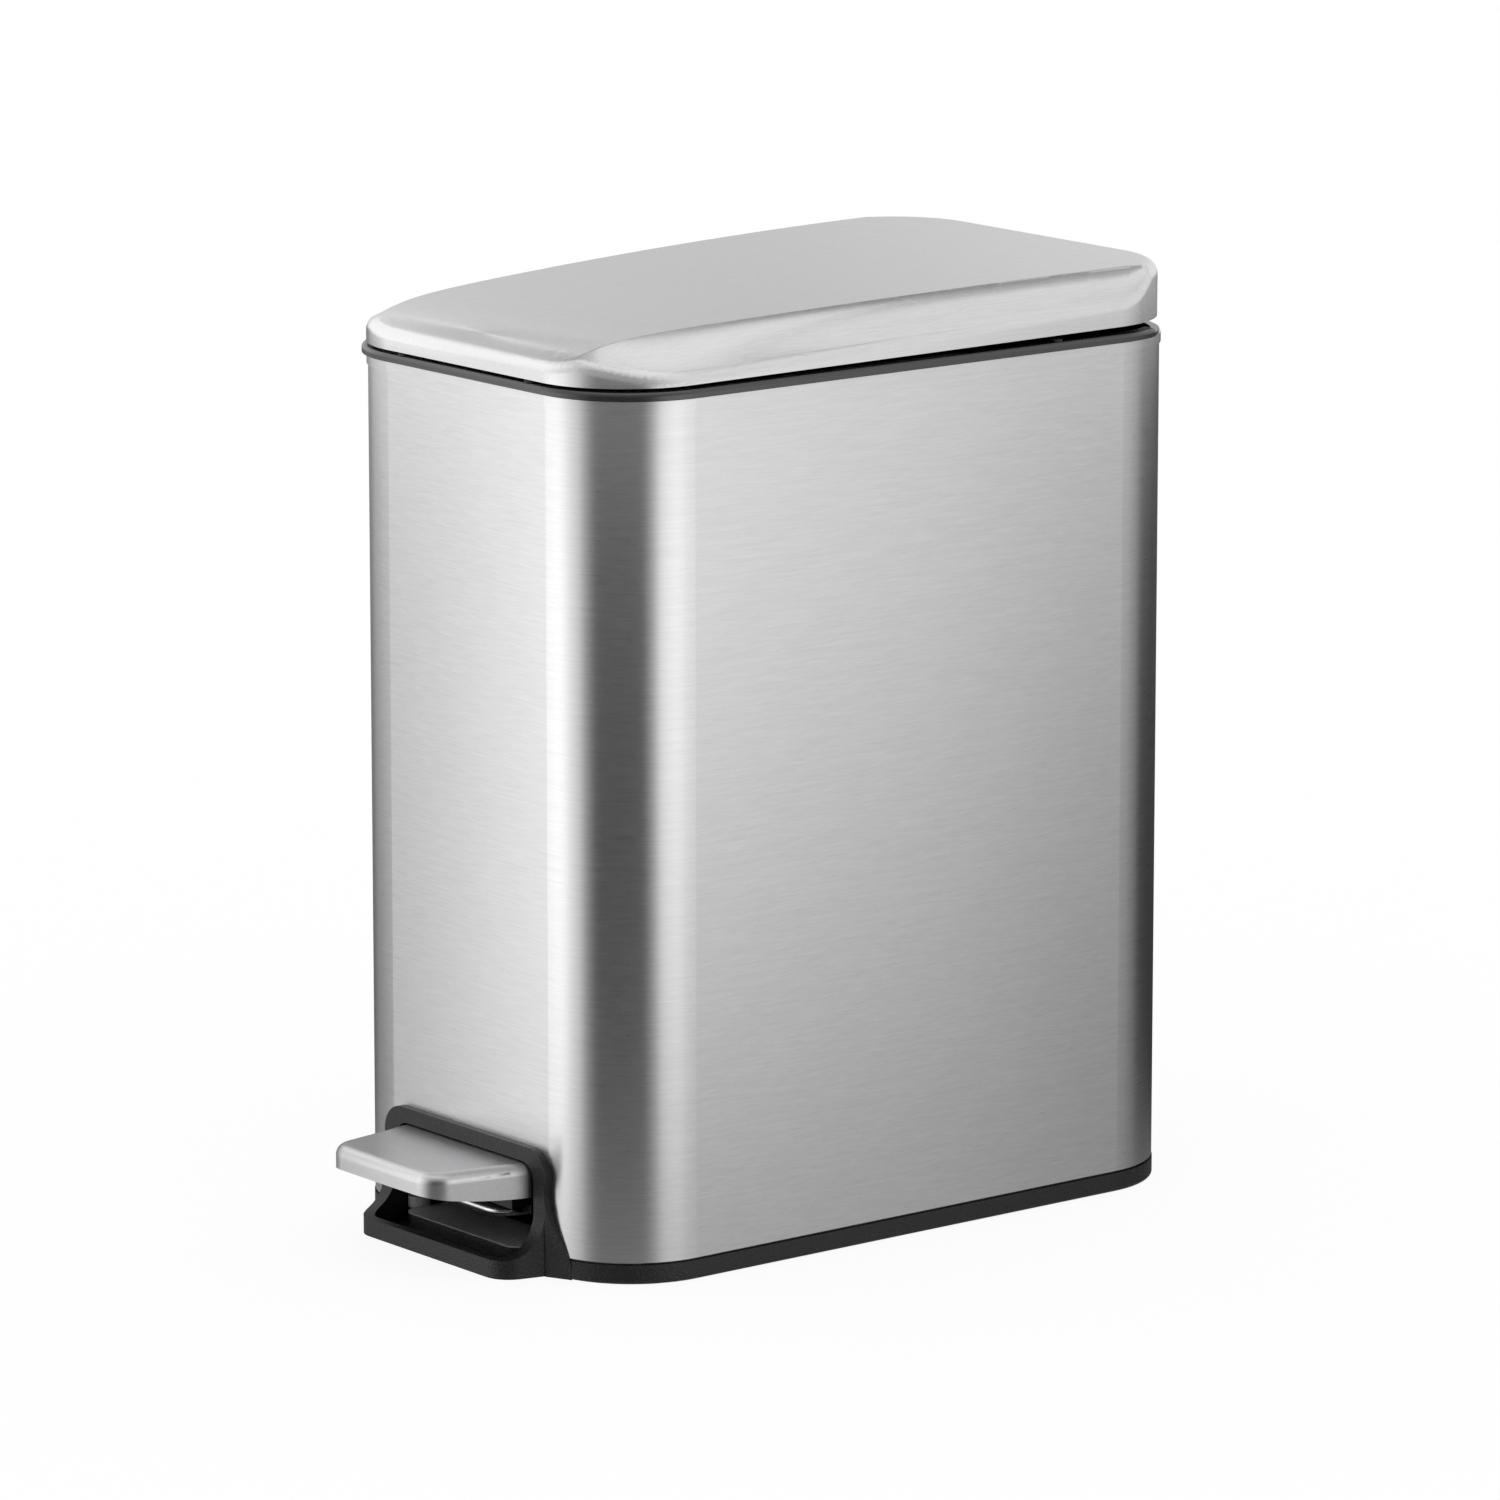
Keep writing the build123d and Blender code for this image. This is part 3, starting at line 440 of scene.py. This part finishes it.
def select_faces(piece, test):
    """Selects the faces that pass a test, and stays in edit mode."""
    bpy.ops.object.mode_set(mode="EDIT")
    bpy.ops.mesh.select_mode(type="FACE")
    bpy.ops.mesh.select_all(action="DESELECT")
    bpy.ops.object.mode_set(mode="OBJECT")
    for face in piece.data.polygons:
        face.select = test(face)
    bpy.ops.object.mode_set(mode="EDIT")


def corners(piece):
    """The lowest and the highest corner of a piece."""
    spots = [piece.matrix_world @ vertex.co for vertex in piece.data.vertices]
    return [[pick(spot[axis] for spot in spots) for axis in range(3)] for pick in (min, max)]


# %% [markdown]
# ### Putting a finer piece in place
#
# The shading is smoothed except at sharp edges, and weighted normals let the large faces decide
# it, so that flat stays flat next to a small radius. Then the piece takes the material and rides
# on the body of the CAD node it stands for, and that node is hidden.

# %% Modifiers and standing in
SHARP = radians(35)


def applied(piece, kind, **settings):
    """Adds a modifier with settings and applies it."""
    select_only(piece)
    bpy.ops.object.modifier_add(type=kind)
    modifier = piece.modifiers[-1]
    for name, setting in settings.items():
        setattr(modifier, name, setting)
    bpy.ops.object.modifier_apply(modifier=modifier.name)


def stand_for(piece, node, material):
    """Smooths a piece by its face sizes and puts it in a CAD node's place."""
    select_only(piece)
    bpy.ops.object.shade_smooth_by_angle(angle=SHARP)
    applied(piece, "WEIGHTED_NORMAL", keep_sharp=True)
    source = frame["nodes"][node]
    piece.data.materials.clear()
    piece.data.materials.append(material)
    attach(piece, source["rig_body"])
    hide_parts(node)
    print(piece.name, "has", len(piece.data.polygons), "faces")


# %% [markdown]
# ### The form of the lid
#
# The lid's crown is level across and falls towards the front, slowly at first and then all at
# once at the nose. Creases part it from a long facet on each side, and they close in towards the
# front. These are the sizes of that form. What the frame can tell is measured on it, and the rest
# says how the lid is drawn: a place along it is a share of the way from its rear to its front.

# %% Lid's form
lid = copy_of("lid_shell")
lid_low, lid_high = corners(lid)
LID_FRONT = lid_low[1]
LID_SIDE = lid_high[0]
LID_TOP = lid_high[2]
LID_SHIFT = 0.8 * MM
LID_REAR = corners(frame["nodes"]["top_ring"])[1][1]
LID_LENGTH = LID_REAR - LID_FRONT + LID_SHIFT
LID_HALF_DEPTH = (LID_REAR - LID_FRONT - LID_SHIFT) / 2
LID_MIDDLE = LID_FRONT + LID_HALF_DEPTH
LID_CORNER = 33.0 * MM
EDGE_ROUND = 5.0 * MM
CROWN_FALL = 7.2 * MM
NOSE_FALL, NOSE_POWER = 7.2 * MM, 24
CREASE_HALF = LID_SIDE - 5.75 * MM
CREASE_DRAW, CREASE_POWER = 16.5 * MM, 1.8
SIDE_FALL, SIDE_FALL_MORE = 11.2 * MM, 6.5 * MM


def way_along(y):
    """0 at the lid's rear, 1 at its front."""
    return min(max((LID_REAR - y) / LID_LENGTH, 0.0), 1.0)


def crown_fall(y):
    """How far the crown has fallen from its rear."""
    return CROWN_FALL * way_along(y) ** 2 + NOSE_FALL * way_along(y) ** NOSE_POWER


def crease_at(y):
    """How far out the creases are."""
    return CREASE_HALF - CREASE_DRAW * way_along(y) ** CREASE_POWER


def facet_slope(y):
    """How far the facet falls for each metre outwards."""
    fall = SIDE_FALL + SIDE_FALL_MORE * way_along(y) - crown_fall(y)
    return fall / (LID_SIDE - crease_at(y))


def inside_outline(x, y):
    """How far a point lies inside the lid's outline, a rectangle with rounded corners."""
    out_x = abs(x) - (LID_SIDE - LID_CORNER)
    out_y = abs(y - LID_MIDDLE) - (LID_HALF_DEPTH - LID_CORNER)
    return LID_CORNER - hypot(max(out_x, 0.0), max(out_y, 0.0)) - min(max(out_x, out_y), 0.0)


for place, y in (("rear", lid_high[1]), ("middle", LID_MIDDLE), ("front", LID_FRONT)):
    print("lid's", place, "crease at", round(crease_at(y) / MM, 1), "mm, slope",
          round(facet_slope(y), 2))


# %% [markdown]
# ### The belly of the lid's facets
#
# A press can't hold a facet dead flat. It leaves the crease at a shallower tilt and then settles
# to its slope, which draws the light out over it. A Subdivision Surface would round the crease
# away, so the facets are only cut finer, and each point of them is put on the belly: out from the
# plane by nothing at the crease, most at two fifths of the way, and nothing where the rolled edge
# begins. The hem under the edge faces up too, so points off the plane are left where they are.

# %% Belly
FACET_CUTS = 7
SMALL_FACE = 1.5 * MM ** 2
FACES_UP = 0.3
CREASE_TILT = radians(18)
BELLY_FADE = 1.5
OFF_PLANE = 0.3 * MM


def on_facet(face):
    outside = abs(face.center.x) > crease_at(face.center.y) + 0.1 * MM
    return face.area > SMALL_FACE and face.normal.z > FACES_UP and outside


def belly(vertex):
    """Puts a point of a facet where it belongs on the facet's belly."""
    x, y, z = vertex.co
    tilt = atan2(facet_slope(y), 1.0)
    roll = EDGE_ROUND * tan((pi / 2 - tilt) / 2) * cos(tilt)
    inner = max(abs(x) - crease_at(y), 0.0)
    outer = max(inside_outline(x, y) - roll, 0.0)
    plane = LID_TOP - crown_fall(y) - facet_slope(y) * inner
    if not inner or not outer or abs(z - plane) > OFF_PLANE:
        return
    reach = inner + outer
    share = inner / reach
    push = tan(max(tilt - CREASE_TILT, 0.0)) * reach / cos(tilt) * share
    push *= (1.0 - share) ** BELLY_FADE
    vertex.co = (x + copysign(push * sin(tilt), x), y, plane + push * cos(tilt))


select_faces(lid, on_facet)
bpy.ops.mesh.subdivide(number_cuts=FACET_CUTS)
bpy.ops.object.mode_set(mode="OBJECT")
skin = {index for face in lid.data.polygons if face.normal.z > FACES_UP for index in face.vertices}
for index in skin:
    belly(lid.data.vertices[index])
stand_for(lid, "lid_shell", lid_steel)


# %% [markdown]
# ### The pedal's housing
#
# A moulding's edges are never sharp: a small radius all round catches the light. In the CAD it
# would cost hundreds of faces, and a Bevel modifier gives it in one step. The flat triangles are
# joined into whole faces first, so that the Bevel finds only true edges, and it then rounds those
# that turn by more than its angle.

# %% Housing
FLAT = radians(0.5)
TRUE_EDGE = radians(40)
BROKEN_EDGE = 1.1 * MM

housing = copy_of("pedal_housing")
bpy.ops.object.mode_set(mode="EDIT")
bpy.ops.mesh.select_all(action="SELECT")
bpy.ops.mesh.dissolve_limited(angle_limit=FLAT)
bpy.ops.object.mode_set(mode="OBJECT")
applied(housing, "BEVEL", width=BROKEN_EDGE, segments=3, limit_method="ANGLE",
        angle_limit=TRUE_EDGE)
stand_for(housing, "pedal_housing", black_moulding)


# %% [markdown]
# ## The studio's floor
#
# A pale floor runs out of sight. More light on it would bleach the bin too, so the floor itself
# glows, but only where a camera, a mirror or glass looks. The rest of it is matt, and keeps the
# bin's soft shadow. The steel doesn't mirror it, because it has the tent round it.

# %% Floor
FLOOR_RADIUS = 30.0
FLOOR_WHITE = (0.98, 0.98, 0.98, 1.0)
WHITE = (1.0, 1.0, 1.0, 1.0)
FLOOR_GLOW = 0.9


def seen_directly(shader):
    """1 where a camera, a mirror or glass looks, 0 for soft light."""
    rays = shader.node("ShaderNodeLightPath").socket.node.outputs
    camera, mirror, glass = [
        Value(shader, rays[f"Is {kind} Ray"]) for kind in ("Camera", "Glossy", "Transmission")]
    return camera.math("MAXIMUM", camera.math("MAXIMUM", camera, mirror), glass)


bpy.ops.mesh.primitive_circle_add(
    vertices=96, radius=FLOOR_RADIUS, fill_type="NGON", location=(0, 0, 0))
floor = bpy.context.object
floor.name = "floor"
floor_paint = bpy.data.materials.new("floor_paint")
shader = Shader(floor_paint)
matt = shader.node("ShaderNodeBsdfDiffuse", {}, {"Color": FLOOR_WHITE})
glow = shader.node("ShaderNodeEmission", {}, {"Color": WHITE, "Strength": 1.0})
share = seen_directly(shader) * FLOOR_GLOW
shader.end(shader.node("ShaderNodeMixShader", {}, {0: share, 1: matt, 2: glow}))
floor.data.materials.append(floor_paint)
floor.visible_glossy = False
print("floor", round(floor.dimensions.x, 1), "m wide")


# %% [markdown]
# ## The room
#
# All the soft light comes from an even white world at a level of 1, at which a colour shows about
# as it is written. Lamps would add hot spots that the plastic and the floor don't have.

# %% Room
ROOM_LEVEL = 1.0

world = bpy.data.worlds.new("room")
bpy.context.scene.world = world
shader = Shader(world)
walls = shader.node("ShaderNodeBackground", {}, {"Color": WHITE, "Strength": ROOM_LEVEL})
shader.end(walls, "ShaderNodeOutputWorld")
print("world", world.name, "at a level of", ROOM_LEVEL)


# %% [markdown]
# ## The light tent
#
# Steel has no look of its own: it shows what stands round it. In an even white room it would be a
# flat grey. A tent of bright and dark cloth round the bin gives the steel its bands. Large lamps
# and black cards could do it, but they would also light the plastic and cast shadows. So the
# tent is a glowing tube that only mirrors see, and the light of the room passes through it.

# %% Tent
TENT_RADIUS, TENT_HEIGHT = 0.45, 4.0

bpy.ops.mesh.primitive_cylinder_add(
    vertices=128, radius=TENT_RADIUS, depth=TENT_HEIGHT, end_fill_type="NOTHING")
tent = bpy.context.object
tent.name = "light_tent"
tent.visible_camera = False
tent.visible_diffuse = False
tent.visible_shadow = False
tent.visible_transmission = False
print("tent", round(tent.dimensions.x, 2), "m wide")


# %% [markdown]
# ### How bright the tent is
#
# Each strip of cloth is bright or dark by where it stands round the bin. A strip is written as
# an angle and a level, with 0 degrees in front of the pedal and 90 to the right of it, and a Color
# Ramp eases from one to the next. A ramp holds levels up to 1, so they are divided by the tent's
# peak first. Heights are in metres, and each part of the tent fades into the next between two.

# %% Light round the tent
TENT_PEAK = 2.0

tent_cloth = bpy.data.materials.new("tent_cloth")
tent.data.materials.append(tent_cloth)
shader = Shader(tent_cloth)
across, along, height = shader.axes(shader.place())
turn = across.math("ARCTAN2", across, along * -1.0) / (2 * pi) + 0.5


def around(strips):
    """The level round the tent, from strips that each have an angle in degrees and a level."""
    stops = [((angle + 180.0) / 360.0, level / TENT_PEAK) for angle, level in strips]
    ramp = {"interpolation": "EASE", "stops": stops}
    return shader.node("ShaderNodeValToRGB", ramp, {"Fac": turn}) * TENT_PEAK


def above(start, end):
    """0 below one height of the tent, 1 above the other."""
    inputs = {"Value": height, "From Min": start, "From Max": end}
    return shader.node("ShaderNodeMapRange", {"interpolation_type": "SMOOTHSTEP"}, inputs)


def blend(first, second, share):
    """From one level to another, by a share."""
    return first * (1.0 - share) + second * share


# %% [markdown]
# ### The wall of the tent
#
# The upright sides of the bin mirror the tent at about their own height. Two bright strips, one in
# front and one on the right, and a black gap between them draw the dark band down the corner. The
# wall grows brighter with height where the fade says so, which lifts the sleeve towards the lid.
# Below the ground, where only rounded undersides look, the cloth is a plain grey.

# %% Wall
WALL = ((-180, 0.06), (-150, 0.06), (-120, 0.14), (-88, 0.24), (-72, 0.5), (-50, 0.68),
        (-44, 0.95), (-38, 1.55), (-20, 1.7), (0, 1.0), (10, 0.36), (18, 0.08), (60, 0.08),
        (67, 0.45), (78, 1.45), (92, 1.65), (112, 1.25), (122, 1.0), (136, 0.6), (150, 0.35),
        (160, 0.08), (180, 0.06))
WALL_FADE = ((-180, 1.0), (-55, 1.0), (-38, 0.1), (-5, 0.1), (20, 1.0), (70, 0.8), (112, 1.0),
             (150, 1.2), (180, 1.0))
FADE_GAIN, FADE_START = 2.0, 0.33
GROUND, GROUND_LEVEL = (-0.13, -0.05), 0.38

fade = around(WALL_FADE) * (height * FADE_GAIN - FADE_START)
wall = around(WALL) * (1.0 + fade)
wall = blend(wall, GROUND_LEVEL, 1.0 - above(*GROUND))
print("wall of", len(WALL), "strips")


# %% [markdown]
# ### The top of the tent
#
# The lid looks up, so it has a part of the tent to itself. The sky above the wall is for its
# facets, and the cloth high up is for its crown. A dark patch high at the back shows as the thin
# shade under the crease, and a bright line with dim cloth above it, on the left only, picks out
# the roll of the lid's front corner. Near its end the tent is an even white.

# %% Top
SKY = ((-180, 1.05), (-150, 0.86), (-128, 0.77), (-100, 0.84), (-75, 1.35), (-45, 1.45),
       (0, 0.8), (18, 0.45), (60, 0.45), (110, 0.95), (140, 1.0), (180, 1.05))
HIGH = ((-180, 0.52), (-172, 0.44), (-163, 0.36), (-153, 0.28), (-138, 0.28), (-125, 0.6),
        (-112, 1.0), (0, 0.8), (120, 1.0), (138, 1.05), (150, 0.75), (162, 0.55), (180, 0.52))
LEFT = ((-180, 0.0), (-120, 0.0), (-110, 1.0), (-70, 1.0), (-60, 0.0), (180, 0.0))
WALL_TO_SKY, SKY_TO_HIGH, HIGH_TO_END = (0.22, 0.28), (0.56, 0.64), (0.93, 1.01)
END_LEVEL = 1.15
BRIGHT_LINE, LINE_GAIN = (0.54, 0.58), 0.35
DIM_CLOTH, CLOTH_LOSS = (0.6, 0.63), 0.85

corner = above(*BRIGHT_LINE) * LINE_GAIN - above(*DIM_CLOTH) * CLOTH_LOSS
high = blend(around(HIGH), END_LEVEL, above(*HIGH_TO_END))
sky = blend(around(SKY), high, above(*SKY_TO_HIGH)) * (1.0 + around(LEFT) * corner)
level = blend(wall, sky, above(*WALL_TO_SKY))
shader.end(shader.node("ShaderNodeEmission", {}, {"Color": WHITE, "Strength": level}))
print("tent_cloth of", len(shader.tree.nodes), "nodes")


# %% [markdown]
# ## The camera
#
# The bin is seen from its front right corner, a little from above, with a long lens from nearly
# three metres, so its upright edges stay upright. The camera's place follows from the point it
# aims at, its direction and its distance.

# %% Camera
AZIMUTH, ELEVATION = 51.657, 11.827
AIM_POINT = Vector((0.0, 0.01105, 0.14702))
DISTANCE = 2.78028

lens = bpy.data.cameras.new("lens")
lens.lens = 206.9
lens.sensor_width = 36.0
lens.clip_end = 100.0
camera = bpy.data.objects.new("camera", lens)
camera.rotation_euler = Euler((radians(90.0 - ELEVATION), 0.0, radians(AZIMUTH)))
camera.location = AIM_POINT + camera.rotation_euler.to_matrix() @ Vector((0.0, 0.0, DISTANCE))
bpy.context.scene.collection.objects.link(camera)
bpy.context.scene.camera = camera
print("camera at", camera.location)


# %% [markdown]
# ## Colour
#
# The Standard view shows colours as they are written.

# %% Colour
bpy.context.scene.view_settings.view_transform = "Standard"
